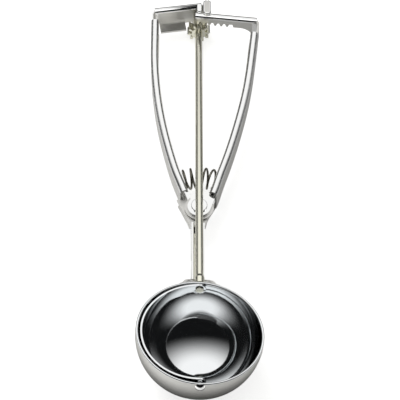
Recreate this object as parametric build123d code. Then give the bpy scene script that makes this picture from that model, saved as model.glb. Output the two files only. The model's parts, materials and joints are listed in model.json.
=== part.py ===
from build123d import *

import os
from math import acos, atan2, cos, degrees, pi, radians, sin, tan

# Lever ice cream scoop, in millimetres and degrees.
#
# The scoop lies on its back with its two handles level. The origin is the centre of the
# bowl's sphere, on the axis of the rod. +X is to the right, +Y runs from the bowl to the head of
# the handles, +Z is up. The rod starts at the bowl and falls towards the head by ROD_SLOPE.
# Squeezing the right handle turns it about +Z at the pivot rivet; its rack turns the rod.

# ---------------------------------------------------------------- driving dimensions

SHEET = 1.1                # stampings of the handles and the yoke
RUN_CLEARANCE = 0.04       # radial clearance of a turning fit
SEAT_CLEARANCE = 0.02      # clearance round a seated piece
FACE_GAP = 0.1             # between faces that slide on each other

BOWL_RADIUS = 30.0         # outside of the cup
BOWL_WALL = 1.3
RIM_HEIGHT = 2.3           # the cup's rim stands this far above the rod's axis
LIP_ROUND = 0.5

ROD_SLOPE = 7.0
BOWL_TWIST = 5.3           # bowl and shank are turned this far about the rod, against the handles
ROD_DIAMETER = 3.8
ROD_GAP = 0.3              # rod to the rivet head below it
JOURNAL_DIAMETER = 3.0
JOURNAL_END = 0.3          # how far the rod's thin upper end stands out of its ring
TENON_DIAMETER = 2.6       # thin lower end of the rod, peened over the wiper

WIPER_SHEET = 0.8
WIPER_WIDTH = 8.4
WIPER_END_WIDTH = 6.0
WIPER_GAP = 0.9            # wiper to the inside of the cup
WIPER_REST = 4.6           # degrees that the resting wiper hangs below level

BUSH_WALL = 0.36           # lower bush where it goes through the cup
BUSH_FLANGE = 4.7          # its wide part outside the cup
BUSH_REACH = 3.5           # length of the wide part
BUSH_STUB = 0.15           # how far it stands inside the cup
COLLAR_LENGTH = 1.4
COLLAR_EDGE = 0.15         # collar's wall at its thin end
TIP_PIN_DIAMETER = 3.0
TIP_HEAD_DIAMETER = 4.8
TIP_HEAD_HEIGHT = 1.3
TIP_FOOT_DIAMETER = 4.4
TIP_FOOT_THICKNESS = 0.6

SADDLE_SHEET = 1.5
SADDLE_WIDTH = 19.0
SADDLE_TOP = 0.4           # above the rod's axis
SADDLE_DROP = 14.5         # below the rod's axis
FOOT_WIDTH = 16.6          # raised foot on the saddle that the shank stands on
FOOT_ROUND = 3.4
FOOT_REACH = 4.2
FOOT_TOP = 1.5             # below the rod's axis
COLLAR_ROOM = 0.3          # round the turning collar

SHANK_WIDTH = 6.5
SHANK_HEIGHT = 5.0
SHANK_WALL = 1.2
SHANK_DROP = 6.5           # rod's axis to the open edge of the channel

HINGE_Y = 81.5             # pivot rivet
RIVET_DIAMETER = 4.6
RIVET_HEAD_DIAMETER = 8.0
RIVET_HEAD = 1.0
EYE_RADIUS = 5.8           # lever's front eye, outside the yoke
BACK_EYE_RADIUS = 4.6      # lever's back eye
INNER_EYE_RADIUS = 4.3     # fixed handle's front eye, inside the yoke
INNER_BACK_EYE_RADIUS = 3.6
FRONT_WASHER_RADIUS = 7.2
BACK_WASHER_RADIUS = 4.7
WASHER = 1.1
SLEEVE_RADIUS = 3.4
SLEEVE_LENGTH = 2.0

YOKE_NECK = 10.2           # pivot to the narrow end of the yoke
YOKE_TOP = 5.2             # pivot to the wide end of the yoke
YOKE_LEFT = 11.2           # half width on the fixed handle's side
YOKE_RIGHT = 6.6           # half width on the lever's side
YOKE_SEAM = 0.25           # gap between the two halves
YOKE_LAP = 2.4             # how far the shank reaches into the yoke
YOKE_SET_BACK = 0.5        # back half's outline inside the front half's

ROLL_DEPTH = 4.1           # how far the rolled edges of the grips reach inwards
ARM_ROLL_DEPTH = 3.6       # the same at the arms
FIXED_LIFT = 3.2           # front of the fixed grip above the lever's eye
LEVER_DROP = 0.5           # front of the lever below the front of the fixed grip
GRIP_BACK = 0.6            # back of both grips below the lever's back eye
GRIP_START = 6.5           # pivot to the lower end of the grips
FIXED_FOOT = 9.3           # pivot line to the outside of the fixed grip at its lower end
FIXED_WIDTH = 24.9         # the same at its head
FIXED_HEAD = 116.3         # pivot to the upper end of the fixed grip
LEVER_FOOT = 7.9           # pivot line to the outside of the lever at its lower end, in its frame
LEVER_WIDTH = 17.9         # the same at its head
LEVER_HEAD_DROP = 5.5      # upper end of the lever's grip below that of the fixed grip
TONGUE_ROOT = 9.0          # how far up the grip its tongues are joined on
TONGUE_REACH = 4.9         # lever's front tongue past the pivot line
BACK_TONGUE_REACH = 3.2    # its back tongue, which passes the fixed grip's rolled edge
CORNER_RADIUS = 4.0

FIXED_ARM_SLOPE = 8.3
FIXED_ARM_RISE = 8.1       # upper end of the fixed grip to the outer corner
FIXED_ARM_END = 2.4        # right end of the arm, past the rod's line
FIXED_ROLL_END = 1.3       # right end of the arm's rolled edge
BACK_FLANGE = 6.6          # reach of the arm's back flange
PINION_CLEARANCE = 0.5     # back flange to the pinion
EAR_RADIUS = 3.7
GUIDE_WIDTH = 2.6          # small tab in front of the lever's arm
GUIDE_PLACE = 0.4          # its middle, past the rod's line
GUIDE_DROP = 3.7           # how far it hangs below the inner side of the rolled edge
GUIDE_LAP = 1.6            # how far it lies on the rolled edge
GUIDE_SHEET = 1.4

LUG_WIDTH = 4.2            # upturned end of the arm
LUG_RISE = 11.1            # upper end of the fixed grip to the lug's top
LUG_HEIGHT = 8.8
LUG_WALL_HEIGHT = 4.4
LUG_LIFT = 2.0             # front of the lug above the arm
LUG_FINGER = 2.2
LUG_DEPTH = 7.4

TOOTH_MODULE = 1.0
PINION_TEETH = 10
PINION_FACE = 5.6
PINION_BEYOND = 2.9        # pinion past the middle of the rack
PINION_ADDENDUM = 1.0
PINION_DEDENDUM = 1.35
PRESSURE_ANGLE = 20.0
TOOTH_SLACK = 0.15         # taken off each tooth's thickness
RACK_TEETH = 6
RACK_START = -15.1         # first tooth, from the pivot line in the lever's own frame
RACK_MARGIN = 0.85         # web past the first tooth
RACK_LAND = 3.9            # where the web widens past the last tooth
RACK_ADDENDUM = 0.85
RACK_DEDENDUM = 1.2
RACK_FLARE = 7.0           # radius where the web widens into the corner
LEVER_ARM_RISE = 10.4      # upper end of the lever's grip to the outer face of its arm
LEVER_REST = 6.9           # degrees that the resting lever stands open of square

TOP_BUSH_DIAMETER = 5.0
THRUST_WASHER = 0.7
THRUST_WASHER_DIAMETER = 6.0
RING_DIAMETER = 5.4
RING_THICKNESS = 0.9

SPRING_TURNS = 5
SPRING_WIRE = 1.1
SPRING_DIAMETER = 11.0     # outside of the coil
SPRING_RADIUS = 21.4       # pivot to the coil's bent axis
SPRING_FAN = 22.5          # degrees from the middle to the outer turns
SPRING_TAIL_RISE = 2.0     # how far the straight ends lie off the coil's middle height
SPRING_SEAT = 1.0          # gap from the ends of the wire to the grips

# ---------------------------------------------------------------- derived places

slope = radians(ROD_SLOPE)
pitch = pi * TOOTH_MODULE
pinion_radius = PINION_TEETH * TOOTH_MODULE / 2
bowl_inside = BOWL_RADIUS - BOWL_WALL
wiper_outside = bowl_inside - WIPER_GAP
wiper_inside = wiper_outside - WIPER_SHEET
spigot_diameter = TENON_DIAMETER + 2 * RUN_CLEARANCE + 2 * BUSH_WALL
bush_inner_end = bowl_inside - BUSH_STUB
bush_outer_end = BOWL_RADIUS + BUSH_REACH


def rod_height(y):
    """Height of the rod's axis above the origin at a place along Y."""
    return -y * tan(slope)


# The pivot's stack, from the rivet head down to its peened tail.
head_top = rod_height(HINGE_Y + RIVET_HEAD_DIAMETER / 2) - ROD_DIAMETER / 2 / cos(slope) - ROD_GAP
lever_eye = head_top - RIVET_HEAD
front_washer_top = lever_eye - SHEET - FACE_GAP
yoke_top = front_washer_top - WASHER
fixed_eye = yoke_top - SHEET
sleeve_top = fixed_eye - SHEET
fixed_back_eye = sleeve_top - SLEEVE_LENGTH
back_yoke_top = fixed_back_eye - SHEET
back_washer_top = back_yoke_top - SHEET
lever_back_eye = back_washer_top - WASHER - FACE_GAP
tail_top = lever_back_eye - SHEET
tail_bottom = tail_top - RIVET_HEAD
yoke_wall = (yoke_top - back_yoke_top + SHEET - YOKE_SEAM) / 2

grip_bottom = tail_top - GRIP_BACK
fixed_top = lever_eye + FIXED_LIFT
lever_top = fixed_top - LEVER_DROP
lug_front = fixed_top + LUG_LIFT
lug_top = FIXED_HEAD + LUG_RISE
fixed_corner = FIXED_HEAD + FIXED_ARM_RISE
fixed_lean = radians(FIXED_ARM_SLOPE)
lever_head = FIXED_HEAD - LEVER_HEAD_DROP
lever_arm_top = lever_head + LEVER_ARM_RISE

# The rack's teeth point down at the pinion from the lever's arm. The arm swings to both sides
# of the middle place that the mesh is worked out for.
mesh_reach = lever_arm_top - SHEET / 2
rack_y = HINGE_Y + mesh_reach / cos(radians(LEVER_REST / 2))
pitch_line = (pinion_radius - rack_y * sin(slope)) / cos(slope)
rack_tip = pitch_line - RACK_ADDENDUM * TOOTH_MODULE
rack_root = pitch_line + RACK_DEDENDUM * TOOTH_MODULE

# Places along the rod at its upper end, where it runs in the fixed handle's arm.
rod_top = rack_y * cos(slope) - pitch_line * sin(slope) + PINION_BEYOND
arm_outside = (HINGE_Y + fixed_corner + FIXED_WIDTH * tan(fixed_lean)) / cos(slope)
ring_start = arm_outside + RING_DIAMETER / 2 * (tan(fixed_lean) + tan(slope)) + FACE_GAP
journal_end = ring_start + RING_THICKNESS + JOURNAL_END
top_bush_start = rod_top + THRUST_WASHER + FACE_GAP
top_bush_end = ring_start - FACE_GAP


def in_rod_frame(shape):
    """Tilt a shape that was drawn with the rod along +Y."""
    return Rot(-ROD_SLOPE, 0, 0) * shape


def in_bowl_frame(shape):
    """Tilt a shape that was drawn with the rod along +Y and the bowl's mouth towards +Z."""
    return in_rod_frame(Rot(0, BOWL_TWIST, 0) * shape)


def at_pivot(shape):
    """Place a shape that was drawn round the pivot."""
    return Pos(0, HINGE_Y, 0) * shape


def at_rest(shape):
    """Place a shape that was drawn in the lever's own frame, at its resting angle."""
    return at_pivot(Rot(0, 0, -LEVER_REST) * shape)


def disc(radius, top, thickness):
    """A round plate about the pivot, named by its upper face."""
    return Pos(0, 0, top - thickness / 2) * Cylinder(radius, thickness)


def plate(points, top, thickness):
    """A flat plate from its outline, named by its upper face."""
    outline = make_face(Polyline(*points, close=True))
    return extrude(Pos(0, 0, top - thickness) * outline, amount=thickness)


def along_rod(radius, start, end):
    """A round bar on the rod's axis, before it is tilted."""
    return Pos(0, (start + end) / 2, 0) * Rot(90, 0, 0) * Cylinder(radius, end - start)


def ball(radius):
    return Sphere(radius)


# ---------------------------------------------------------------- bowl group


def bowl():
    """Spun cup with a rounded lip, made by turning its section about the upright axis."""
    section = Circle(BOWL_RADIUS) - Circle(bowl_inside)
    size = 2 * BOWL_RADIUS
    section = section & (Pos(size / 2, RIM_HEIGHT - size / 2) * Rectangle(size, size))
    lip = section.vertices().group_by(Axis.Y)[-1]
    section = fillet(lip, min(LIP_ROUND, 0.45 * BOWL_WALL))
    cup = revolve(Plane.XZ * section, Axis.Z)
    cup -= along_rod(spigot_diameter / 2 + SEAT_CLEARANCE, 0, 2 * BOWL_RADIUS)
    cup -= along_rod(TIP_PIN_DIAMETER / 2 + SEAT_CLEARANCE, -2 * BOWL_RADIUS, 0)
    return in_bowl_frame(cup)


def saddle():
    """Curved pad against the back of the cup, with the raised foot for the shank."""
    inner = BOWL_RADIUS + SEAT_CLEARANCE
    height = SADDLE_TOP + SADDLE_DROP
    middle = (SADDLE_TOP - SADDLE_DROP) / 2
    reach = BOWL_RADIUS + SADDLE_SHEET
    pad = ball(inner + SADDLE_SHEET) & (Pos(0, reach, middle) * Box(SADDLE_WIDTH, 2 * reach, height))
    foot_height = SADDLE_DROP - FOOT_TOP
    foot = Pos(0, BOWL_RADIUS, -FOOT_TOP - foot_height / 2) * Box(
        FOOT_WIDTH, 2 * FOOT_REACH, foot_height
    )
    foot = fillet(foot.edges().filter_by(Axis.Z).group_by(Axis.Y)[-1], FOOT_ROUND)
    pad = pad + foot - ball(inner)
    pad -= along_rod(BUSH_FLANGE / 2 + SEAT_CLEARANCE, 0, 2 * BOWL_RADIUS)
    pad -= along_rod(BUSH_FLANGE / 2 + COLLAR_ROOM, bush_outer_end, 2 * BOWL_RADIUS)
    return in_bowl_frame(pad)


def lower_bush():
    """Stepped sleeve: a narrow spigot through the cup and a wide part outside it."""
    seat = BOWL_RADIUS + SEAT_CLEARANCE
    sleeve = along_rod(spigot_diameter / 2, bush_inner_end, seat)
    sleeve += along_rod(BUSH_FLANGE / 2, seat, bush_outer_end)
    bore = along_rod(TENON_DIAMETER / 2 + RUN_CLEARANCE, 0, 2 * BOWL_RADIUS)
    return in_rod_frame(sleeve - bore)


def tip_pivot():
    """Domed rivet through the front of the cup, on which the wiper's far end turns."""
    pin = along_rod(TIP_PIN_DIAMETER / 2, -BOWL_RADIUS - 0.2, -wiper_inside + 0.1)
    foot_start = -wiper_inside + FACE_GAP
    foot = along_rod(TIP_FOOT_DIAMETER / 2, foot_start, foot_start + TIP_FOOT_THICKNESS)
    rise = TIP_HEAD_HEIGHT
    dome_radius = (TIP_HEAD_DIAMETER**2 / 4 + rise**2) / (2 * rise)
    dome = Pos(0, -BOWL_RADIUS - rise + dome_radius, 0) * ball(dome_radius)
    dome = dome & along_rod(TIP_HEAD_DIAMETER / 2, -BOWL_RADIUS - 2 * rise, -BOWL_RADIUS + 0.3)
    head = dome - ball(BOWL_RADIUS + SEAT_CLEARANCE)
    return in_rod_frame(pin + foot + head)


def wiper():
    """Half ring of thin strip that hugs the cup, with an eye at each end."""
    shell = ball(wiper_outside) - ball(wiper_inside)
    reach = wiper_outside + 1
    half, end_half = WIPER_WIDTH / 2, WIPER_END_WIDTH / 2
    side = [
        (reach, end_half), (0, half), (-reach, end_half),
        (-reach, -end_half), (0, -half), (reach, -end_half),
    ]
    blank = extrude(Plane.YZ * make_face(Polyline(*side, close=True)), amount=-reach)
    eyes = along_rod(end_half, -reach, reach)
    strip = (shell & blank) + (shell & eyes)
    strip -= along_rod(TENON_DIAMETER / 2 + SEAT_CLEARANCE, 0, reach)
    strip -= along_rod(TIP_PIN_DIAMETER / 2 + RUN_CLEARANCE, -reach, 0)
    return in_bowl_frame(Rot(0, -WIPER_REST, 0) * strip)


# ---------------------------------------------------------------- rod group


def spindle():
    shoulder = bush_outer_end + FACE_GAP
    bar = along_rod(ROD_DIAMETER / 2, shoulder, rod_top)
    journal = along_rod(JOURNAL_DIAMETER / 2, rod_top, journal_end)
    peened_end = wiper_inside - 0.1
    tenon = along_rod(TENON_DIAMETER / 2, peened_end, shoulder)
    peen = along_rod(ROD_DIAMETER / 2, peened_end - 0.6, peened_end)
    return in_rod_frame(bar + journal + tenon + peen)


def spindle_collar():
    start = bush_outer_end + FACE_GAP
    cone = Cone(BUSH_FLANGE / 2, ROD_DIAMETER / 2 + COLLAR_EDGE, COLLAR_LENGTH)
    body = Pos(0, start + COLLAR_LENGTH / 2, 0) * Rot(-90, 0, 0) * cone
    bore = along_rod(ROD_DIAMETER / 2 + SEAT_CLEARANCE, 0, 2 * start)
    return in_rod_frame(body - bore)


def involute(angle):
    return tan(angle) - angle


def pinion():
    """Ten slim involute teeth on the upper end of the rod."""
    base = pinion_radius * cos(radians(PRESSURE_ANGLE))
    tip = pinion_radius + PINION_ADDENDUM * TOOTH_MODULE
    root = pinion_radius - PINION_DEDENDUM * TOOTH_MODULE
    thickness = pitch / 2 - TOOTH_SLACK
    half_angle = thickness / (2 * pinion_radius) + involute(radians(PRESSURE_ANGLE))
    steps = 5
    flank = []
    for i in range(steps + 1):
        radius = base + (tip - base) * i / steps
        flank.append((radius, half_angle - involute(acos(base / radius))))
    # Below the base circle the flank runs in to a waist, which the rack's tips clear.
    waist = 0.62 * half_angle
    flank = [(root - 0.1, waist), (root + 0.35, waist)] + flank
    right = [(r * sin(a), r * cos(a)) for r, a in flank]
    left = [(-x, y) for x, y in reversed(right)]
    tooth = make_face(Polyline(*(right + left), close=True))
    profile = Circle(root)
    for i in range(PINION_TEETH):
        profile += Rot(0, 0, i * 360 / PINION_TEETH) * tooth
    profile -= Circle(ROD_DIAMETER / 2 + SEAT_CLEARANCE)
    gear = extrude(profile, amount=PINION_FACE)
    # One tooth stands in the gap between two of the rack's teeth when the lever is at rest.
    under_rod = -mesh_reach * tan(radians(LEVER_REST))
    gap = RACK_START + pitch / 2 + pitch * round((under_rod - RACK_START) / pitch - 0.5)
    phase = degrees((gap - under_rod) / pinion_radius)
    gear = Pos(0, rod_top, 0) * Rot(0, phase, 0) * Rot(90, 0, 0) * gear
    return in_rod_frame(gear)


def thrust_washer():
    start = rod_top + SEAT_CLEARANCE
    ring = along_rod(THRUST_WASHER_DIAMETER / 2, start, start + THRUST_WASHER)
    bore = along_rod(JOURNAL_DIAMETER / 2 + RUN_CLEARANCE, start - 1, start + 2)
    return in_rod_frame(ring - bore)


def top_bush():
    sleeve = along_rod(TOP_BUSH_DIAMETER / 2, top_bush_start, top_bush_end)
    bore = along_rod(JOURNAL_DIAMETER / 2 + RUN_CLEARANCE, rod_top, 2 * rod_top)
    return in_rod_frame(sleeve - bore)


def retaining_ring():
    ring = along_rod(RING_DIAMETER / 2, ring_start, ring_start + RING_THICKNESS)
    bore = along_rod(JOURNAL_DIAMETER / 2 + SEAT_CLEARANCE, rod_top, 2 * rod_top)
    return in_rod_frame(ring - bore)


# ---------------------------------------------------------------- frame and pivot


def yoke_outline(inset):
    """Funnel shape of the yoke round the pivot, drawn in by a margin."""
    neck = SHANK_WIDTH / 2 + SHANK_WALL / 2 - inset
    # The twisted shank meets the yoke a little to the left.
    aside = (SHANK_DROP + SHANK_HEIGHT / 2) * sin(radians(BOWL_TWIST))
    left, right = YOKE_LEFT - inset, YOKE_RIGHT - inset
    return [
        (-neck - aside, -YOKE_NECK), (-0.6 * YOKE_LEFT + inset, -0.45 * YOKE_NECK),
        (-left, YOKE_TOP), (right, YOKE_TOP), (right, 0.3 * YOKE_TOP),
        (0.66 * YOKE_RIGHT - inset, -0.4 * YOKE_NECK), (neck - aside, -YOKE_NECK),
    ]


def yoke_half(plate_top, wall_top, set_back):
    """One stamped half of the yoke: a plate with its two slanted sides turned up or down."""
    half = plate(yoke_outline(set_back), plate_top, SHEET)
    sides = plate(yoke_outline(set_back), wall_top, yoke_wall)
    sides -= plate(yoke_outline(set_back + SHEET), wall_top, yoke_wall)
    # The upper end stays open for the fixed handle's tongues.
    mouth = Pos(0, YOKE_TOP, wall_top) * Box(4 * YOKE_LEFT, 4 * SHEET, 4 * yoke_wall)
    hole = disc(RIVET_DIAMETER / 2 + SEAT_CLEARANCE, plate_top + SHEET, 3 * SHEET)
    return half + (sides - mouth) - hole


def shank():
    """Open channel beside the rod, from the foot on the saddle to the yoke's neck."""
    start = BOWL_RADIUS + FOOT_REACH + SEAT_CLEARANCE
    end = (HINGE_Y - YOKE_NECK + YOKE_LAP) / cos(slope)
    length = end - start
    middle = (start + end) / 2
    outer = Pos(0, middle, -SHANK_DROP - SHANK_HEIGHT / 2) * Box(SHANK_WIDTH, length, SHANK_HEIGHT)
    groove = Pos(0, middle, -SHANK_DROP) * Box(
        SHANK_WIDTH - 2 * SHANK_WALL, length + 1, 2 * (SHANK_HEIGHT - SHANK_WALL)
    )
    return in_bowl_frame(outer - groove)


def frame():
    return shank() + at_pivot(yoke_half(yoke_top, yoke_top, 0))


def back_yoke():
    half = yoke_half(back_yoke_top, back_yoke_top - SHEET + yoke_wall, YOKE_SET_BACK)
    # It ends above the shank, which only the front half is welded to.
    shank_room = Pos(0, -YOKE_NECK, back_yoke_top) * Box(4 * YOKE_LEFT, 2 * YOKE_LAP, 4 * yoke_wall)
    return at_pivot(half - shank_room)


def washer(radius, top):
    ring = disc(radius, top, WASHER)
    return at_pivot(ring - disc(RIVET_DIAMETER / 2 + SEAT_CLEARANCE, top + WASHER, 3 * WASHER))


def pivot_sleeve():
    tube = disc(SLEEVE_RADIUS, sleeve_top, SLEEVE_LENGTH)
    bore = disc(RIVET_DIAMETER / 2 + SEAT_CLEARANCE, sleeve_top + SHEET, SLEEVE_LENGTH + 2 * SHEET)
    return at_pivot(tube - bore)


def pivot_rivet():
    shaft = disc(RIVET_DIAMETER / 2, head_top - 0.2, head_top - tail_bottom - 0.4)
    head = disc(RIVET_HEAD_DIAMETER / 2, head_top, RIVET_HEAD)
    head = fillet(head.edges().group_by(Axis.Z)[-1], 0.4 * RIVET_HEAD)
    tail = disc(RIVET_HEAD_DIAMETER / 2 - 0.6, tail_top, RIVET_HEAD)
    tail = fillet(tail.edges().group_by(Axis.Z)[0], 0.4 * RIVET_HEAD)
    return at_pivot(shaft + head + tail)


# ---------------------------------------------------------------- handles


def grip_path(foot, width, head, shares):
    """Outer line of a right grip from the pivot to its head, with shares of its spread and rise."""
    rise, spread = head - GRIP_START, width - foot
    points = [(foot, GRIP_START)]
    points += [(foot + x * spread, GRIP_START + y * rise) for x, y in shares]
    points.append((width, head))
    return Spline(*points, tangents=[(0.3, 1), (0, 1)])


FIXED_PATH = grip_path(
    FIXED_FOOT, FIXED_WIDTH, FIXED_HEAD,
    [(0.25, 0.105), (0.46, 0.214), (0.72, 0.384), (0.92, 0.586), (1.0, 0.76)],
)
LEVER_PATH = grip_path(
    LEVER_FOOT, LEVER_WIDTH, lever_head,
    [(0.19, 0.097), (0.385, 0.195), (0.6, 0.317), (0.85, 0.505), (0.96, 0.629), (1.01, 0.791)],
)


def channel_profile(width):
    """Section of a grip: a web with both edges rolled in. X is inwards, Y is up."""
    roll = 0.499 * ROLL_DEPTH
    outside = RectangleRounded(ROLL_DEPTH, width, roll)
    inside = RectangleRounded(ROLL_DEPTH - 2 * SHEET, width - 2 * SHEET, roll - SHEET)
    mouth = Pos(ROLL_DEPTH / 2, 0) * Rectangle(2 * SHEET + 0.2, width - ROLL_DEPTH)
    return Pos(ROLL_DEPTH / 2, -width / 2) * (outside - inside - mouth)


def rolled_edge_profile(depth):
    """Section of one rolled edge with a short stretch of web. X is inwards, Y is up."""
    roll = 0.499 * depth
    tall = 3 * depth
    outside = Pos(depth / 2, -tall / 2) * RectangleRounded(depth, tall, roll)
    inside = Pos(depth / 2, -tall / 2) * RectangleRounded(
        depth - 2 * SHEET, tall - 2 * SHEET, roll - SHEET
    )
    lower = Pos(tall / 2, -depth / 2 - tall) * Rectangle(2 * tall, 2 * tall)
    return outside - inside - lower


def sweep_inwards(profile, path, top):
    """Sweep a section along a level path whose left side is the inside of the handle."""
    start = path @ 0
    ahead = (path % 0).normalized()
    inwards = Vector(0, 0, 1).cross(ahead)
    base = Plane(origin=(start.X, start.Y, top), x_dir=inwards, z_dir=ahead)
    return sweep(base * profile, path=Pos(0, 0, top) * path)


def grip(path, top):
    return sweep_inwards(channel_profile(top - grip_bottom), path, top)


def corner_strip(points, top):
    """Bare web round the corner, where the rolled edges are notched away."""
    width = top - grip_bottom - ROLL_DEPTH
    path = FilletPolyline(*points, radius=CORNER_RADIUS)
    web = Pos(SHEET / 2, -width / 2) * Rectangle(SHEET, width)
    return sweep_inwards(web, path, top - ROLL_DEPTH / 2)


def eye_tongue(radius, points, top):
    """Flat tongue inside a grip that ends in the eye round the rivet."""
    tongue = plate(points, top, SHEET) + disc(radius, top, SHEET)
    return tongue - disc(RIVET_DIAMETER / 2 + RUN_CLEARANCE, top + SHEET, 3 * SHEET)


def mirrored(points):
    return [(-x, y) for x, y in points]


def tongue_outline(path, radius, reach):
    """Outline of a right grip's tongue. Reach is how far it goes past the pivot line."""
    # Its outer edge runs inside the web's thickness, so the two are one piece.
    edge = []
    for step in range(4):
        spot = path @ (step / 3 * TONGUE_ROOT / path.length)
        edge.append((spot.X - SHEET / 2, spot.Y))
    root_x, root_y = edge[-1]
    crotch = GRIP_START + 0.25 * TONGUE_ROOT
    return [
        (0.98 * radius, -0.15 * radius), *edge, (root_x - ROLL_DEPTH / 2, root_y),
        (0.55 * edge[0][0], crotch), (-reach, crotch), (-reach, 0.2 * radius),
    ]


def rack_web():
    """Web of the lever's arm, with the rack's teeth along its lower edge."""
    left = RACK_START - RACK_MARGIN
    right = LEVER_WIDTH - CORNER_RADIUS + 0.5
    upper = lever_top - ARM_ROLL_DEPTH / 2 + 0.3
    flare_start = right - RACK_FLARE
    flare_low = rack_tip - RACK_FLARE
    with BuildSketch() as web:
        with BuildLine():
            Polyline(
                (flare_start, rack_tip), (RACK_LAND, rack_tip), (RACK_LAND - 0.5, rack_root),
                (left, rack_root), (left, upper), (right, upper), (right, flare_low),
            )
            RadiusArc((flare_start, rack_tip), (right, flare_low), RACK_FLARE)
        make_face()
    sketch = web.sketch
    half = pitch / 4 - TOOTH_SLACK / 2
    lean = tan(radians(PRESSURE_ANGLE))
    tip_half = half - RACK_ADDENDUM * TOOTH_MODULE * lean
    root_half = half + RACK_DEDENDUM * TOOTH_MODULE * lean
    for i in range(RACK_TEETH):
        x = RACK_START + i * pitch
        tooth = [
            (x - tip_half, rack_tip), (x + tip_half, rack_tip),
            (x + root_half, rack_root), (x + root_half, rack_root + 0.3),
            (x - root_half, rack_root + 0.3), (x - root_half, rack_root),
        ]
        if i == 0:
            tooth = [(max(px, left), pz) for px, pz in tooth]
        sketch += make_face(Polyline(*tooth, close=True))
    face_plane = Plane(origin=(0, lever_arm_top, 0), x_dir=(1, 0, 0), z_dir=(0, -1, 0))
    return extrude(face_plane * sketch, amount=SHEET)


def straight_roll(depth, start, end, height, top):
    """Rolled edge along a straight arm whose outer face is level with height."""
    base = Plane(origin=(end, height, top), x_dir=(0, -1, 0), z_dir=(-1, 0, 0))
    return extrude(base * rolled_edge_profile(depth), amount=end - start)


def lever_handle():
    body = grip(LEVER_PATH, lever_top)
    corner = [
        (LEVER_WIDTH, lever_head - 0.5), (LEVER_WIDTH, lever_arm_top),
        (LEVER_WIDTH - CORNER_RADIUS - 1, lever_arm_top),
    ]
    body += corner_strip(corner, lever_top)
    left = RACK_START - RACK_MARGIN
    right = LEVER_WIDTH - 0.4 * CORNER_RADIUS
    body += straight_roll(ARM_ROLL_DEPTH, left, right, lever_arm_top, lever_top)
    body += rack_web()
    front_outline = tongue_outline(LEVER_PATH, EYE_RADIUS, TONGUE_REACH)
    back_outline = tongue_outline(LEVER_PATH, BACK_EYE_RADIUS, BACK_TONGUE_REACH)
    body += eye_tongue(EYE_RADIUS, front_outline, lever_eye)
    body += eye_tongue(BACK_EYE_RADIUS, back_outline, lever_back_eye)
    return at_rest(body)


def fixed_arm():
    """Arm of the fixed handle. It is drawn along X from the outer corner, then sloped."""
    full = (FIXED_WIDTH + FIXED_ARM_END + SHEET) / cos(fixed_lean)
    roll_end = (FIXED_WIDTH + FIXED_ROLL_END) / cos(fixed_lean)
    pinion_edge = pinion_radius + TOOTH_MODULE + PINION_CLEARANCE
    back_end = (FIXED_WIDTH - pinion_edge) / cos(fixed_lean) - BACK_FLANGE * tan(fixed_lean)
    start = 0.4 * CORNER_RADIUS
    web_top = fixed_top - ARM_ROLL_DEPTH / 2
    web_start = CORNER_RADIUS
    web_height = web_top - grip_bottom
    web = Pos((web_start + full) / 2, -SHEET / 2, web_top - web_height / 2) * Box(
        full - web_start, SHEET, web_height
    )
    back = Pos((web_start + back_end) / 2, -BACK_FLANGE / 2, grip_bottom + SHEET / 2) * Box(
        back_end - web_start, BACK_FLANGE, SHEET
    )
    arm = web + back + straight_roll(ARM_ROLL_DEPTH, start, roll_end, 0, fixed_top)
    ear_x = FIXED_WIDTH / cos(fixed_lean)
    ear_z = rod_height(arm_outside * cos(slope))
    arm += Pos(ear_x, -SHEET / 2, ear_z) * Rot(90, 0, 0) * Cylinder(EAR_RADIUS, SHEET)
    return Pos(-FIXED_WIDTH, fixed_corner, 0) * Rot(0, 0, FIXED_ARM_SLOPE) * arm


def stop_lug():
    """Upturned end of the fixed arm. Its finger hangs in front of the lever's arm."""
    base = Plane(origin=(FIXED_ARM_END, lug_top, lug_front), x_dir=(1, 0, 0), z_dir=(0, -1, 0))
    roll = extrude(base * rolled_edge_profile(LUG_WIDTH), amount=LUG_WALL_HEIGHT)
    # The wall behind the roll runs up to the outer face of the arm.
    wall_top = fixed_corner + (FIXED_WIDTH + FIXED_ARM_END) * tan(fixed_lean) - 0.1
    wall_height = wall_top - lug_top + LUG_WALL_HEIGHT
    wall = Pos(
        FIXED_ARM_END + SHEET / 2, wall_top - wall_height / 2, lug_front - LUG_WIDTH / 2 - LUG_DEPTH / 2
    ) * Box(SHEET, wall_height, LUG_DEPTH)
    finger = Pos(
        FIXED_ARM_END + LUG_WIDTH / 2, lug_top - LUG_HEIGHT / 2, lug_front - LUG_FINGER / 2
    ) * Box(LUG_WIDTH, LUG_HEIGHT, LUG_FINGER)
    finger = fillet(finger.edges().filter_by(Axis.Z), 0.45 * LUG_WIDTH)
    finger = fillet(finger.faces().sort_by(Axis.Z)[-1].edges(), 0.3 * LUG_FINGER)
    return roll + wall + finger


def guide_tab():
    """Small tab on the end of the fixed arm's rolled edge, in front of the lever's arm."""
    edge = fixed_corner + (FIXED_WIDTH + GUIDE_PLACE) * tan(fixed_lean) - ARM_ROLL_DEPTH
    height = GUIDE_DROP + GUIDE_LAP
    bottom = lever_top + FACE_GAP
    tab = Pos(
        GUIDE_PLACE, edge - GUIDE_DROP + height / 2, bottom + GUIDE_SHEET / 2
    ) * Box(GUIDE_WIDTH, height, GUIDE_SHEET)
    tab = fillet(tab.edges().filter_by(Axis.Z), 0.4 * GUIDE_WIDTH)
    return fillet(tab.faces().sort_by(Axis.Z)[-1].edges(), 0.35 * GUIDE_SHEET)


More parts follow.
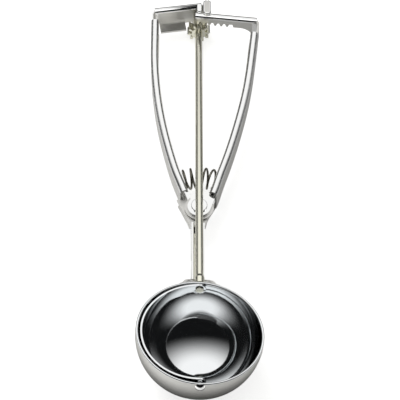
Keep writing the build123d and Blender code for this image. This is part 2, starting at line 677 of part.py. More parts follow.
def fixed_handle():
    body = mirror(grip(FIXED_PATH, fixed_top), about=Plane.YZ)
    along = CORNER_RADIUS + 2
    corner = [
        (-FIXED_WIDTH + along * cos(fixed_lean), fixed_corner + along * sin(fixed_lean)),
        (-FIXED_WIDTH, fixed_corner), (-FIXED_WIDTH, FIXED_HEAD - 0.5),
    ]
    body += corner_strip(corner, fixed_top)
    body += fixed_arm()
    body += stop_lug()
    body += guide_tab()
    for radius, level in ((INNER_EYE_RADIUS, fixed_eye), (INNER_BACK_EYE_RADIUS, fixed_back_eye)):
        body += eye_tongue(radius, mirrored(tongue_outline(FIXED_PATH, radius, 0)), level)
    body = at_pivot(body)
    body -= in_rod_frame(along_rod(TOP_BUSH_DIAMETER / 2 + SEAT_CLEARANCE, rod_top, 2 * rod_top))
    return body


# ---------------------------------------------------------------- spring


def spring_tail(side, coil_radius, middle):
    """Straight end of the wire, listed from the grip's web to the coil. Side is -1 or 1."""
    level = middle + side * SPRING_TAIL_RISE
    reach = SPRING_RADIUS - coil_radius
    start = Vector(reach * sin(radians(SPRING_FAN)), reach * cos(radians(SPRING_FAN)), 0)
    path = LEVER_PATH if side > 0 else FIXED_PATH
    web = path @ ((start.Y - GRIP_START) / path.length)
    if side > 0:
        web = web.rotate(Axis.Z, -LEVER_REST)
    return [
        (side * (web.X - SHEET - SPRING_SEAT), web.Y, level),
        (side * (start.X + 3 * SPRING_WIRE), start.Y, level),
        (side * (start.X + 0.9 * SPRING_WIRE), start.Y, middle + side * 0.8 * SPRING_TAIL_RISE),
    ]


def return_spring():
    """Coil whose axis is bent round the pivot, so its turns fan out between the grips."""
    coil_radius = (SPRING_DIAMETER - SPRING_WIRE) / 2
    rod_low = rod_height(HINGE_Y + SPRING_RADIUS + SPRING_WIRE) - ROD_DIAMETER / 2 / cos(slope)
    middle = rod_low - ROD_GAP - SPRING_DIAMETER / 2
    per_turn = 12
    count = SPRING_TURNS * per_turn
    points = spring_tail(-1, coil_radius, middle)
    for i in range(count + 1):
        turn = 2 * pi * i / per_turn
        fan = radians(SPRING_FAN * (2 * i / count - 1))
        out = SPRING_RADIUS - coil_radius * cos(turn)
        points.append((out * sin(fan), out * cos(fan), middle + coil_radius * sin(turn)))
    points += reversed(spring_tail(1, coil_radius, middle))
    wire = Spline(*points)
    section = Plane(origin=wire @ 0, z_dir=wire % 0) * Circle(SPRING_WIRE / 2)
    return at_pivot(sweep(section, path=wire, is_frenet=True))


# ---------------------------------------------------------------- write the parts

NODES = {
    "bowl": bowl,
    "saddle": saddle,
    "lower_bush": lower_bush,
    "tip_pivot": tip_pivot,
    "wiper": wiper,
    "spindle": spindle,
    "spindle_collar": spindle_collar,
    "pinion": pinion,
    "thrust_washer": thrust_washer,
    "top_bush": top_bush,
    "retaining_ring": retaining_ring,
    "frame": frame,
    "back_yoke": back_yoke,
    "front_washer": lambda: washer(FRONT_WASHER_RADIUS, front_washer_top),
    "back_washer": lambda: washer(BACK_WASHER_RADIUS, back_washer_top),
    "pivot_sleeve": pivot_sleeve,
    "pivot_rivet": pivot_rivet,
    "fixed_handle": fixed_handle,
    "lever_handle": lever_handle,
    "return_spring": return_spring,
}

os.makedirs("parts", exist_ok=True)
for name, make in NODES.items():
    export_step(make(), f"parts/{name}.step")
print("lever ratio", round(mesh_reach / pinion_radius, 3))
print("hinge", HINGE_Y, "rod angle", ROD_SLOPE)
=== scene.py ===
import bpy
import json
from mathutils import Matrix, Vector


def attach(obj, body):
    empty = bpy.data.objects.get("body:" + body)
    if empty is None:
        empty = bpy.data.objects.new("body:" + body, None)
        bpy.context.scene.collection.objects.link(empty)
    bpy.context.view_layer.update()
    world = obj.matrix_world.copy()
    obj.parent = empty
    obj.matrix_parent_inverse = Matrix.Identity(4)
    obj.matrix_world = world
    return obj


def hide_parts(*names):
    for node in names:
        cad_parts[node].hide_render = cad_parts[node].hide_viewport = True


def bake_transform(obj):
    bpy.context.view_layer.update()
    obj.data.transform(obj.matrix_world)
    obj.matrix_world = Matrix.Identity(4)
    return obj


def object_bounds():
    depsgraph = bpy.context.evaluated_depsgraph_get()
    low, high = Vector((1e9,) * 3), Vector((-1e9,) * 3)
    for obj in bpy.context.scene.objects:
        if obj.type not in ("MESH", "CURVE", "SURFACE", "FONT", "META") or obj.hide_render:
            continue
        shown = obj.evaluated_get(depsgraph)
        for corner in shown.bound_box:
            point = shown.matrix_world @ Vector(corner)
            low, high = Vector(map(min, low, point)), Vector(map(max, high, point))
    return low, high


bl_info = {
    "name": "Lever Ice Cream Scoop",
    "version": (1, 0, 0),
    "blender": (4, 5, 0),
    "location": "View3D > Sidebar > Scoop",
    "description": "Builds a lever ice cream scoop, piece by piece, over its packed frame",
    "category": "Object",
}

import json
from collections import namedtuple
from math import asin, cos, pi, radians, sin, sqrt

import bmesh
import bpy
from mathutils import Matrix, Vector

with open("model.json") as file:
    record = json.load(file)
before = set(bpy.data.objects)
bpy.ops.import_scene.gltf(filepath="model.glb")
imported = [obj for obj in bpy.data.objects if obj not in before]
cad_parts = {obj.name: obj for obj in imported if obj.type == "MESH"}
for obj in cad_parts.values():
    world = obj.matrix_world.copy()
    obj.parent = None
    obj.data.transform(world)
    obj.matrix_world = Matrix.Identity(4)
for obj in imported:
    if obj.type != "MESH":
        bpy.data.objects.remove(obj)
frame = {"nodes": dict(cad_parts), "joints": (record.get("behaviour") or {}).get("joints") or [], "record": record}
CAD_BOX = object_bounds()
MM = 0.001

# ---------------------------------------------------------------- places taken from the frame

JOINTS = {joint["name"]: joint for joint in frame["joints"]}
ROD_AXIS = Vector(JOINTS["rod_turn"]["axis"]).normalized()
PIVOT = Vector(JOINTS["lever_pivot"]["pos_m"])
# The rod's frame has its origin at the bowl's centre and +Y up the rod.
ROD_FRAME = Vector((0, 1, 0)).rotation_difference(ROD_AXIS).to_matrix().to_4x4()
# The bowl's frame is turned about the rod, so that +Z points out of the bowl's mouth.
BOWL_TWIST = radians(5.3)
BOWL_FRAME = ROD_FRAME @ Matrix.Rotation(BOWL_TWIST, 4, "Y")
EYES_END = PIVOT.y + 10 * MM    # the eyes of the lever and the fixed handle end here
NECK = PIVOT.y - 12 * MM        # the shank widens into the yoke here
FLOOR = CAD_BOX[0].z


# ---------------------------------------------------------------- sizes and colours a user may change


class ScoopSizes(bpy.types.PropertyGroup):
    bowl_radius: bpy.props.FloatProperty(
        name="Bowl radius", description="Outside radius of the cup", default=0.030, unit="LENGTH")
    bowl_wall: bpy.props.FloatProperty(
        name="Bowl wall", description="Thickness of the cup's sheet", default=0.0013, unit="LENGTH")
    rim_height: bpy.props.FloatProperty(
        name="Rim height", description="Rim above the rod's axis", default=0.0023, unit="LENGTH")
    lip_round: bpy.props.FloatProperty(
        name="Lip rounding", description="Rounding of the cup's lip", default=0.00055, unit="LENGTH")
    bush_hole: bpy.props.FloatProperty(
        name="Bush hole", description="Radius of the hole for the rod's bush",
        default=0.00176, unit="LENGTH")
    tip_hole: bpy.props.FloatProperty(
        name="Tip hole", description="Radius of the hole for the tip rivet",
        default=0.00156, unit="LENGTH")
    edge_round: bpy.props.FloatProperty(
        name="Edge rounding", description="Rounding of the edges on the rod and its pinion and rings",
        default=0.000126, unit="LENGTH")


class ScoopFinish(bpy.types.PropertyGroup):
    polish: bpy.props.StringProperty(name="Polished steel", description="sRGB hex", default="#f3f5f6")
    satin: bpy.props.StringProperty(name="Satin steel", description="sRGB hex", default="#dddcd8")
    plate: bpy.props.StringProperty(name="Bright plating", description="sRGB hex", default="#f7f7f6")
    nickel: bpy.props.StringProperty(name="Nickel", description="sRGB hex", default="#f2f0e0")
    wire: bpy.props.StringProperty(name="Spring wire", description="sRGB hex", default="#7d7a70")


# ---------------------------------------------------------------- materials


def linear(code):
    """Linear RGBA of an sRGB hex code."""
    parts = [int(code[i:i + 2], 16) / 255 for i in (1, 3, 5)]
    return [c / 12.92 if c <= 0.04045 else ((c + 0.055) / 1.055) ** 2.4 for c in parts] + [1.0]


def add(tree, kind, inputs=None, **settings):
    """Add one node with its settings, and set or link its inputs."""
    made = tree.nodes.new(kind)
    for key, value in settings.items():
        setattr(made, key, value)
    for key, value in (inputs or {}).items():
        if isinstance(value, bpy.types.NodeSocket):
            tree.links.new(value, made.inputs[key])
        else:
            made.inputs[key].default_value = value
    return made


def start_material(name, constants):
    """A new material, with its tree and its shader, whose sockets get those constants."""
    material = bpy.data.materials.new(name)
    material.use_nodes = True
    tree = material.node_tree
    shader = tree.nodes["Principled BSDF"]
    for socket, value in constants.items():
        shader.inputs[socket].default_value = value
    return material, tree, shader


def start_metal(name, code, roughness):
    """A bare metal: its tree, its shader and the object's own coordinates."""
    material, tree, shader = start_material(
        name, {"Metallic": 1.0, "Base Color": linear(code), "Roughness": roughness})
    place = add(tree, "ShaderNodeTexCoord").outputs["Object"]
    return material, tree, shader, place


def grain(tree, place, size, stretch=(1, 1, 1)):
    """Noise with a feature of that size in metres, drawn out along the axes by stretch."""
    mapped = add(tree, "ShaderNodeMapping", {"Vector": place, "Scale": [1 / (size * s) for s in stretch]})
    return add(tree, "ShaderNodeTexNoise", {
        "Vector": mapped.outputs["Vector"], "Scale": 1.0, "Detail": 3.0, "Roughness": 0.6,
    }).outputs["Fac"]


def roughen(tree, shader, haze, low, high, dents=None, depth=0.0):
    """One pattern sets the roughness between two ends. Another dents the metal, by a depth in metres."""
    spread = add(tree, "ShaderNodeMapRange", {"Value": haze, "To Min": low, "To Max": high})
    tree.links.new(spread.outputs["Result"], shader.inputs["Roughness"])
    if depth:
        bump = add(tree, "ShaderNodeBump", {"Height": dents, "Distance": depth})
        tree.links.new(bump.outputs["Normal"], shader.inputs["Normal"])


def polished_stainless(finish):
    """Stainless sheet, spun and buffed to a mirror: sharp reflections with a faint haze."""
    material, tree, shader, place = start_metal("Stainless, mirror polished", finish.polish, roughness=0.05)
    haze = grain(tree, place, size=6 * MM)
    waves = grain(tree, place, size=9 * MM)
    roughen(tree, shader, haze, low=0.03, high=0.08, dents=waves, depth=0.02 * MM)
    return material


def satin_stainless(finish):
    """Stainless sheet, ground with a fine belt: soft grey with short streaks."""
    material, tree, shader, place = start_metal("Stainless, satin ground", finish.satin, roughness=0.32)
    # A fine belt's lines lie about 0.05 mm apart, and are drawn coarser so that a near view shows them.
    streaks = grain(tree, place, size=0.15 * MM, stretch=(12, 1, 1))
    roughen(tree, shader, streaks, low=0.32, high=0.5, dents=streaks, depth=0.004 * MM)
    return material


def bright_plate(finish):
    """Steel stampings with bright plating: mirror-like, a little wavy from the press."""
    material, tree, shader, place = start_metal("Steel, bright plated", finish.plate, roughness=0.1)
    haze = grain(tree, place, size=3 * MM)
    waves = grain(tree, place, size=5 * MM)
    roughen(tree, shader, haze, low=0.05, high=0.11, dents=waves, depth=0.015 * MM)
    return material


def warm_nickel(finish):
    """Ground bar with nickel plating: yellowish, with fine turning marks round the rod."""
    material, tree, shader, place = start_metal("Steel, nickel plated", finish.nickel, roughness=0.16)
    # Turning marks lie about 0.1 mm apart, and are drawn coarser so that a near view shows them.
    marks = grain(tree, place, size=0.2 * MM, stretch=(8, 1, 8))
    roughen(tree, shader, marks, low=0.12, high=0.24, dents=marks, depth=0.003 * MM)
    return material


def drawn_wire(finish):
    """Hard-drawn spring wire: dark grey with a dull, slightly uneven sheen."""
    material, tree, shader, place = start_metal("Spring wire, drawn", finish.wire, roughness=0.28)
    roughen(tree, shader, grain(tree, place, size=0.6 * MM), low=0.2, high=0.4)
    return material


MATERIALS = {
    "polished_steel": polished_stainless,
    "satin_steel": satin_stainless,
    "plated_steel": bright_plate,
    "nickel": warm_nickel,
    "spring_steel": drawn_wire,
}


def finish_of(slot_name):
    """The material of a slot, made once."""
    key = f"slot {slot_name}"
    if key not in bpy.context.scene:
        material = MATERIALS[slot_name](bpy.context.scene.scoop_finish)
        bpy.context.scene[key] = material.name
    return bpy.data.materials[bpy.context.scene[key]]


# ---------------------------------------------------------------- making and dressing pieces

SLOTS = {part["node"]: part["material_slot"] for part in frame["record"]["subparts"]}
BODIES = {node: body for body, nodes in frame["record"]["behaviour"]["bodies"].items() for node in nodes}
SAME_CORNER = 0.001 * MM        # corners nearer than this are merged
SAME_FACE = radians(0.4)        # faces that turn less than this are one flat
SHARP = radians(32)             # edges that turn more than this stay sharp
ROUNDED = radians(50)           # edges that turn more than this are rounded
FLAT_AREA = 12 * MM * MM        # faces above this are the flat parts of a stamping
# On the handles, a flat that doesn't look up takes the darker satin: painted shade on their sides.
UPTURNED = 0.5                  # a face whose normal has more Z than this looks up


def place_piece(node, bm, sharp=SHARP):
    """Turn a bmesh into the finished piece that stands for a solid of the frame."""
    name = f"{node}_finished"
    mesh = bpy.data.meshes.new(name)
    bm.to_mesh(mesh)
    bm.free()
    mesh.shade_smooth()
    mesh.set_sharp_from_angle(angle=sharp)
    mesh.materials.append(finish_of(SLOTS[node]))
    obj = bpy.data.objects.new(name, mesh)
    bpy.context.scene.collection.objects.link(obj)
    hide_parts(node)
    return obj


def solid_of(node):
    """Merged copy of a solid of the frame, its flat parts in single faces."""
    bm = bmesh.new()
    bm.from_mesh(frame["nodes"][node].data)
    bmesh.ops.remove_doubles(bm, verts=bm.verts, dist=SAME_CORNER)
    bmesh.ops.dissolve_limit(bm, angle_limit=SAME_FACE, verts=bm.verts, edges=bm.edges)
    return bm


def refine(node, rounding=0.0, is_satin_or_painted_shade=None):
    """Replace a solid by a smooth shaded piece. A test of normal and place picks the flats that take the darker
    satin: a satin finish, and on the handles also painted shade.
    """
    bm = solid_of(node)
    for face in bm.faces:
        flat = is_satin_or_painted_shade and face.calc_area() > FLAT_AREA
        face.material_index = 1 if flat and is_satin_or_painted_shade(face.normal, face.calc_center_median()) else 0
    obj = place_piece(node, bm)
    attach(obj, BODIES[node])
    if is_satin_or_painted_shade:
        obj.data.materials.append(finish_of("satin_steel"))
    if rounding:
        edges = obj.modifiers.new("Edges", "BEVEL")
        edges.width = rounding
        edges.segments = 2
        edges.limit_method = "ANGLE"
        edges.angle_limit = ROUNDED
        edges.harden_normals = True


# ---------------------------------------------------------------- bowl

WALL_STEPS = 40                 # faces from the cup's pole to its lip
LIP_STEPS = 10                  # faces over the lip
ROUND_STEPS = 160               # faces round the cup
CUP_SHARP = radians(40)         # the lip's faces turn less than this, and it stays smooth


def arc(radius, start, end, count):
    """(radius, height) points on a circle about the origin, by elevation in radians."""
    spots = [start + (end - start) * i / count for i in range(count + 1)]
    return [(radius * cos(a), radius * sin(a)) for a in spots]


def cup_section(outside, inside, lip_foot, lip_round):
    """(radius, height) points over the outer wall, the lip and the inner wall."""
    outer_wall = arc(outside, -pi / 2, asin(lip_foot / outside), WALL_STEPS)
    inner_wall = arc(inside, asin(lip_foot / inside), -pi / 2, WALL_STEPS)
    middle, half = (outside + inside) / 2, (outside - inside) / 2
    turns = [pi * step / LIP_STEPS for step in range(1, LIP_STEPS)]
    lip = [(middle + half * cos(turn), lip_foot + lip_round * sin(turn)) for turn in turns]
    return outer_wall + lip + inner_wall


def spin_up(section):
    """Surface of a section that starts and ends on the Z axis and is turned round it."""
    bm = bmesh.new()
    verts = [bm.verts.new((radius, 0, height)) for radius, height in section]
    edges = [bm.edges.new(pair) for pair in zip(verts, verts[1:])]
    bmesh.ops.spin(
        bm, geom=verts + edges, angle=2 * pi, steps=ROUND_STEPS, axis=(0, 0, 1), cent=(0, 0, 0),
        use_merge=True,
    )
    bmesh.ops.remove_doubles(bm, verts=bm.verts, dist=SAME_CORNER)
    bmesh.ops.recalc_face_normals(bm, faces=bm.faces)
    return bm


def pierce(bm, side, radius, inside, outside):
    """Round hole through the cup's wall, where the rod's axis leaves it on one side."""
    patch = []
    for face in bm.faces:
        spot = face.calc_center_median()
        if side * spot.y > 0 and Vector((spot.x, spot.z)).length < radius:
            patch.append(face)
    bmesh.ops.delete(bm, geom=patch, context="FACES")
    rims = [edge for edge in bm.edges if edge.is_boundary]
    for vert in {vert for edge in rims for vert in edge.verts}:
        wall = outside if vert.co.length > (inside + outside) / 2 else inside
        across = Vector((vert.co.x, 0, vert.co.z)).normalized() * radius
        vert.co = across + Vector((0, side * sqrt(wall**2 - radius**2), 0))
    bmesh.ops.bridge_loops(bm, edges=rims)


class SCOOP_OT_bowl(bpy.types.Operator):
    """Spun cup with a rounded lip: mirror inside, satin outside"""
    bl_idname = "scoop.bowl"
    bl_label = "Bowl"

    def execute(self, context):
        sizes = context.scene.scoop_sizes
        outside = sizes.bowl_radius
        inside = outside - sizes.bowl_wall
        lip_foot = sizes.rim_height - sizes.lip_round
        bm = spin_up(cup_section(outside, inside, lip_foot, sizes.lip_round))
        pierce(bm, 1, sizes.bush_hole, inside, outside)
        pierce(bm, -1, sizes.tip_hole, inside, outside)
        bmesh.ops.recalc_face_normals(bm, faces=bm.faces)
        for face in bm.faces:
            spot = face.calc_center_median()
            polished = spot.length < (inside + outside) / 2 or spot.z > lip_foot
            face.material_index = 0 if polished else 1
        bmesh.ops.transform(bm, matrix=BOWL_FRAME, verts=bm.verts)
        cup = place_piece("bowl", bm, CUP_SHARP)
        cup.data.materials.append(finish_of("satin_steel"))
        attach(cup, "fixed")
        return {"FINISHED"}


# ---------------------------------------------------------------- the other pieces


class SCOOP_OT_wiper(bpy.types.Operator):
    """Thin strip that hugs the cup, with a round eye at each end"""
    bl_idname = "scoop.wiper"
    bl_label = "Wiper"

    def execute(self, context):
        refine("wiper")
        return {"FINISHED"}


class SCOOP_OT_rod(bpy.types.Operator):
    """Rod with its collar, pinion, washer and ring"""
    bl_idname = "scoop.rod"
    bl_label = "Rod and pinion"

    def execute(self, context):
        for node in ("spindle", "spindle_collar", "pinion", "thrust_washer", "retaining_ring"):
            refine(node, rounding=context.scene.scoop_sizes.edge_round)
        return {"FINISHED"}


class SCOOP_OT_handles(bpy.types.Operator):
    """The two stamped handles: bright rolls and eyes, satin flats, and the darker satin as painted shade on flats
    that don't face up
    """
    bl_idname = "scoop.handles"
    bl_label = "Handles"

    def execute(self, context):
        for node in ("fixed_handle", "lever_handle"):
            # Flats past the eyes are satin. Flats by the eyes that don't face up take the satin as painted shade.
            refine(node, is_satin_or_painted_shade=lambda normal, spot: normal.z < UPTURNED or spot.y > EYES_END)
        return {"FINISHED"}


class SCOOP_OT_frame(bpy.types.Operator):
    """Shank with its yoke, the saddle, the bushes and the tip rivet"""
    bl_idname = "scoop.frame"
    bl_label = "Frame"

    def execute(self, context):
        for node in ("frame", "back_yoke"):
            refine(node, is_satin_or_painted_shade=lambda normal, spot: spot.y > NECK)
        for node in ("saddle", "lower_bush", "top_bush", "tip_pivot"):
            refine(node)
        return {"FINISHED"}


class SCOOP_OT_pivot(bpy.types.Operator):
    """Rivet that the lever turns on, with its washers and sleeve"""
    bl_idname = "scoop.pivot"
    bl_label = "Pivot"

    def execute(self, context):
        for node in ("pivot_rivet", "front_washer", "back_washer", "pivot_sleeve"):
            refine(node)
        return {"FINISHED"}


class SCOOP_OT_spring(bpy.types.Operator):
    """Return spring, a smooth copy of the frame's solid"""
    bl_idname = "scoop.spring"
    bl_label = "Return spring"

    def execute(self, context):
        spring = place_piece("return_spring", solid_of("return_spring"))
        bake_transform(spring)
        return {"FINISHED"}


# ---------------------------------------------------------------- camera, world and floor

# The camera is placed in the bowl's frame: where it stands and how it is turned.
CAMERA_AT = Vector((-68.72, -557.08, 722.71)) * MM
CAMERA_AZIMUTH, CAMERA_ELEVATION, CAMERA_ROLL = radians(-6.158), radians(48.297), radians(7.983)
FOCAL_SHARE = 4.93125           # focal length over the picture's width
SENSOR = 36.0                   # width of the camera's sensor, in mm
NEAREST, FARTHEST = 0.05, 20    # what the camera shows, in metres from it

WHITE = linear("#ffffff")
WORLD_LIGHT = 0.5               # the world's strength where it lights
FLOOR_SIZE = 6
FLOOR_GLOW = 0.62               # lifts the lit floor to white where it is seen


def make_camera():
    """Long lens that looks down into the bowl, with a little roll."""
    lens = bpy.data.cameras.new("Camera")
    lens.sensor_width = SENSOR
    lens.lens = SENSOR * FOCAL_SHARE
    lens.clip_start, lens.clip_end = NEAREST, FARTHEST
    camera = bpy.data.objects.new("Camera", lens)
    bpy.context.scene.collection.objects.link(camera)
    back = Vector((
        sin(CAMERA_AZIMUTH) * cos(CAMERA_ELEVATION), -cos(CAMERA_AZIMUTH) * cos(CAMERA_ELEVATION),
        sin(CAMERA_ELEVATION),
    ))
    level = Vector((cos(CAMERA_AZIMUTH), sin(CAMERA_AZIMUTH), 0))
    upright = back.cross(level)
    right = level * cos(CAMERA_ROLL) + upright * sin(CAMERA_ROLL)
    up = upright * cos(CAMERA_ROLL) - level * sin(CAMERA_ROLL)
    turned = Matrix((right, up, back)).transposed().to_4x4()
    camera.matrix_world = BOWL_FRAME @ Matrix.Translation(CAMERA_AT) @ turned
    bpy.context.scene.camera = camera


def seen_or_mirrored(tree):
    """1 for rays from the camera, and for those that a metal or glass sends on."""
    path = add(tree, "ShaderNodeLightPath")
    either = add(tree, "ShaderNodeMath", {
        0: path.outputs["Is Camera Ray"], 1: path.outputs["Is Glossy Ray"],
    }, operation="MAXIMUM")
    return add(tree, "ShaderNodeMath", {
        0: either.outputs[0], 1: path.outputs["Is Transmission Ray"],
    }, operation="MAXIMUM").outputs[0]


def make_world():
    """White where it is seen or mirrored, softer where it lights."""
    world = bpy.data.worlds.new("Studio")
    bpy.context.scene.world = world
    world.use_nodes = True
    tree = world.node_tree
    sky = tree.nodes["Background"]
    strength = add(tree, "ShaderNodeMapRange", {
        "Value": seen_or_mirrored(tree), "To Min": WORLD_LIGHT, "To Max": 1.0,
    })
    tree.links.new(strength.outputs["Result"], sky.inputs["Strength"])
    sky.inputs["Color"].default_value = WHITE


def place_on_stage(name, bm, material):
    """Turn a bmesh into a thing of the stage, which isn't part of the object."""
    mesh = bpy.data.meshes.new(name)
    bm.to_mesh(mesh)
    bm.free()
    mesh.materials.append(material)
    made = bpy.data.objects.new(name, mesh)
    bpy.context.scene.collection.objects.link(made)
    return made


def make_sheet(name, width, depth, matrix, material):
    """Flat rectangle of the stage, drawn level and then placed by a matrix."""
    bm = bmesh.new()
    bmesh.ops.create_grid(bm, x_segments=1, y_segments=1, size=0.5)
    bmesh.ops.scale(bm, vec=(width, depth, 1), verts=bm.verts)
    bmesh.ops.transform(bm, matrix=matrix, verts=bm.verts)
    return place_on_stage(name, bm, material)


def make_floor():
    """Matt white floor that stays white where it is seen, apart from the object's shadow."""
    material, tree, shader = start_material("Floor, matt white laminate", {
        "Base Color": linear("#f4f4f2"), "Roughness": 0.6, "Emission Color": WHITE,
    })
    glow = add(tree, "ShaderNodeMath", {0: seen_or_mirrored(tree), 1: FLOOR_GLOW}, operation="MULTIPLY")
    tree.links.new(glow.outputs[0], shader.inputs["Emission Strength"])
    make_sheet("Floor", FLOOR_SIZE, FLOOR_SIZE, Matrix.Translation((0, 0, FLOOR)), material)


# ---------------------------------------------------------------- what the metal mirrors

# Each black cloth and each sheet of painted shade fades out from start to end, by its place along a vector or its
# distance to a point.
Fade = namedtuple("Fade", "operation vector start end")
# A sheet of painted shade: its size, the place of its middle, the share of light it stops, how that fades,
# and its height over the floor.
ShadeMat = namedtuple("ShadeMat", "width depth x y cover fade lift", defaults=(None, 1 * MM))

# The front sheet's painted shade fades out to the left, so it is darkest on the right.
TO_THE_LEFT = Fade("DOT_PRODUCT", (-1, 0, 0), start=-0.05, end=0.12)
UPWARDS = Fade("DOT_PRODUCT", (0, 0, 1), start=0.4, end=0.95)
AWAY_FROM_BOWL = Fade("DISTANCE", Vector((0, 0, FLOOR + 1 * MM)), start=0.03, end=0.078)

# Dark sheets on the floor that only the metal mirrors: painted shade of the floor round and under the object.
SHADE_MATS = {
    "Front mat": ShadeMat(width=1.6, depth=0.8, x=0, y=-0.46, cover=0.38, fade=TO_THE_LEFT),
    "Left mat": ShadeMat(width=0.95, depth=0.32, x=-0.52, y=0.22, cover=0.85),
    "Right mat": ShadeMat(width=0.95, depth=0.32, x=0.52, y=0.22, cover=0.85),
    "Left inner mat": ShadeMat(width=0.045, depth=0.32, x=-0.0225, y=0.22, cover=0.35),
    "Right inner mat": ShadeMat(width=0.045, depth=0.32, x=0.0225, y=0.22, cover=0.6),
    # Painted shadow of the bowl, which keeps the light off the floor that it stands on.
    "Bowl shade": ShadeMat(width=0.16, depth=0.16, x=0, y=0, cover=0.95, fade=AWAY_FROM_BOWL, lift=2 * MM),
}

BACK_FLAG_WIDTH, BACK_FLAG_HEIGHT = 3.4, 1.0
BACK_FLAG_AT = 1.2              # how far it stands behind the bowl
BACK_FLAG_COVER = 0.9

TENT = 2.4                      # radius of the black tent round the stage
TENT_COVER = 0.995
OPENING = radians(45)           # height of the middle of its opening, which lies behind the object
OPENING_INSIDE, OPENING_EDGE = radians(24), radians(76)

# A glowing card that only the metal mirrors: painted highlight on the arms.
HIGHLIGHT_CARD_WIDTH, HIGHLIGHT_CARD_DEPTH = 0.5, 0.234
HIGHLIGHT_CARD_AT = Vector((0, 0.12, 0.242))
HIGHLIGHT_CARD_TILT = radians(70)
HIGHLIGHT_CARD_GLOW = 0.9


def felt_and_shade(name, cover, fade=None):
    """Matt black cloth round the stage, and the sheets of painted shade on the floor: it swallows its share of the
    light and dims what metal mirrors there.
    """
    material, tree, black = start_material(name, {
        "Base Color": linear("#0c0e10"), "Roughness": 0.9, "Specular IOR Level": 0.0, "Alpha": cover,
    })
    if fade:
        place = add(tree, "ShaderNodeTexCoord").outputs["Object"]
        measured = add(tree, "ShaderNodeVectorMath", {0: place, 1: fade.vector}, operation=fade.operation)
        alpha = add(tree, "ShaderNodeMapRange", {
            "Value": measured.outputs["Value"], "From Min": fade.start, "From Max": fade.end,
            "To Min": cover, "To Max": 0.0,
        }, interpolation_type="SMOOTHSTEP")
        tree.links.new(alpha.outputs["Result"], black.inputs["Alpha"])
    return material


def make_back_flag():
    """Black flag behind the object, thinner towards its top."""
    middle = Matrix.Translation((0, BACK_FLAG_AT, FLOOR + BACK_FLAG_HEIGHT / 2))
    upright = middle @ Matrix.Rotation(pi / 2, 4, "X")
    cloth = felt_and_shade("Back flag, black felt", BACK_FLAG_COVER, UPWARDS)
    return make_sheet("Back flag", BACK_FLAG_WIDTH, BACK_FLAG_HEIGHT, upright, cloth)


def make_shade_mat(name):
    """Dark sheet just above the floor, which only the metal mirrors: painted shade of the floor."""
    mat = SHADE_MATS[name]
    lying = Matrix.Translation((mat.x, mat.y, FLOOR + mat.lift))
    return make_sheet(name, mat.width, mat.depth, lying, felt_and_shade(f"{name}, black felt", mat.cover, mat.fade))


def make_tent():
    """Black cloth all round, with a soft opening that the polished surfaces mirror."""
    middle = (0, TENT * cos(OPENING), TENT * sin(OPENING))
    edge, inside = (2 * TENT * sin(angle / 2) for angle in (OPENING_EDGE, OPENING_INSIDE))
    cloth = felt_and_shade("Tent, black cloth", TENT_COVER, Fade("DISTANCE", middle, start=edge, end=inside))
    bm = bmesh.new()
    bmesh.ops.create_uvsphere(bm, u_segments=64, v_segments=32, radius=TENT)
    tent = place_on_stage("Tent", bm, cloth)
    tent.data.shade_smooth()
    return tent


def make_highlight_card():
    """Glowing white card over the grips, no lamp, which only the metal mirrors: a painted highlight on the arms.
    From the bowl it can't be seen.
    """
    material, tree, card = start_material("Reflector, white card", {
        "Base Color": WHITE, "Emission Color": WHITE, "Emission Strength": HIGHLIGHT_CARD_GLOW,
    })
    # Its lower face shows and its upper face, which the bowl would mirror, lets light past.
    face = add(tree, "ShaderNodeNewGeometry").outputs["Backfacing"]
    tree.links.new(face, card.inputs["Alpha"])
    tilted = Matrix.Translation(HIGHLIGHT_CARD_AT) @ Matrix.Rotation(HIGHLIGHT_CARD_TILT, 4, "X")
    return make_sheet("Reflector", HIGHLIGHT_CARD_WIDTH, HIGHLIGHT_CARD_DEPTH, tilted, material)


def make_surroundings():
    """Black cloths, sheets of painted shade on the floor and a glowing card of painted highlight, which only the
    object's metal shows.
    """
    mats = [make_shade_mat(name) for name in SHADE_MATS]
    for thing in (make_back_flag(), *mats, make_tent(), make_highlight_card()):
        thing.visible_camera = thing.visible_diffuse = False
        thing.visible_shadow = thing.visible_transmission = False


# ---------------------------------------------------------------- lamp and stage

KEY_AT = Vector((-0.5, 0.7, 1.3))
KEY_SIZE = 1.0
KEY_POWER = 7                   # watts


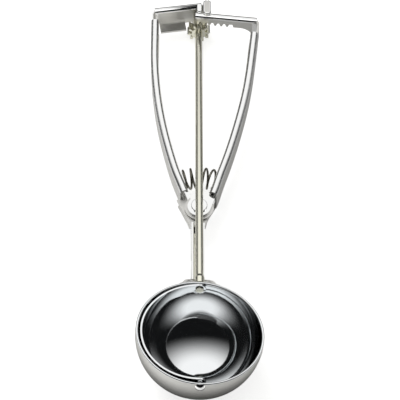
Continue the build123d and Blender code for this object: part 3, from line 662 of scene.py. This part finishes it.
def make_key_lamp():
    """Soft square lamp that faces the object. No surface mirrors its shape."""
    light = bpy.data.lights.new("Key", "AREA")
    light.shape = "SQUARE"
    light.size = KEY_SIZE
    light.energy = KEY_POWER
    lamp = bpy.data.objects.new("Key", light)
    lamp.visible_glossy = False
    bpy.context.scene.collection.objects.link(lamp)
    lamp.location = KEY_AT
    middle = (CAD_BOX[0] + CAD_BOX[1]) / 2
    lamp.rotation_euler = (KEY_AT - middle).to_track_quat("Z", "Y").to_euler()


class SCOOP_OT_stage(bpy.types.Operator):
    """Camera, white floor, what the metal mirrors, and a soft lamp"""
    bl_idname = "scoop.stage"
    bl_label = "Stage"

    def execute(self, context):
        context.scene.view_settings.view_transform = "Standard"
        make_camera()
        make_world()
        make_floor()
        make_surroundings()
        make_key_lamp()
        return {"FINISHED"}


# ---------------------------------------------------------------- panel and running

PIECES = (
    SCOOP_OT_bowl, SCOOP_OT_wiper, SCOOP_OT_rod, SCOOP_OT_handles, SCOOP_OT_frame, SCOOP_OT_pivot,
    SCOOP_OT_spring,
)


class SCOOP_PT_panel(bpy.types.Panel):
    """Lists the scoop's sizes, colours and pieces"""
    bl_idname = "SCOOP_PT_panel"
    bl_label = "Ice cream scoop"
    bl_space_type = "VIEW_3D"
    bl_region_type = "UI"
    bl_category = "Scoop"

    def draw(self, context):
        for group in (context.scene.scoop_sizes, context.scene.scoop_finish):
            for name in type(group).__annotations__:
                self.layout.prop(group, name)
        for piece in (*PIECES, SCOOP_OT_stage):
            self.layout.operator(piece.bl_idname)


CLASSES = (ScoopSizes, ScoopFinish, *PIECES, SCOOP_OT_stage, SCOOP_PT_panel)


def register():
    for cls in CLASSES:
        bpy.utils.register_class(cls)
    bpy.types.Scene.scoop_sizes = bpy.props.PointerProperty(type=ScoopSizes)
    bpy.types.Scene.scoop_finish = bpy.props.PointerProperty(type=ScoopFinish)


def unregister():
    del bpy.types.Scene.scoop_sizes
    del bpy.types.Scene.scoop_finish
    for cls in reversed(CLASSES):
        bpy.utils.unregister_class(cls)


def main():
    register()
    for piece in PIECES:
        getattr(bpy.ops.scoop, piece.bl_idname.split(".")[1])()
    bpy.ops.scoop.stage()


if __name__ == "__main__":
    main()
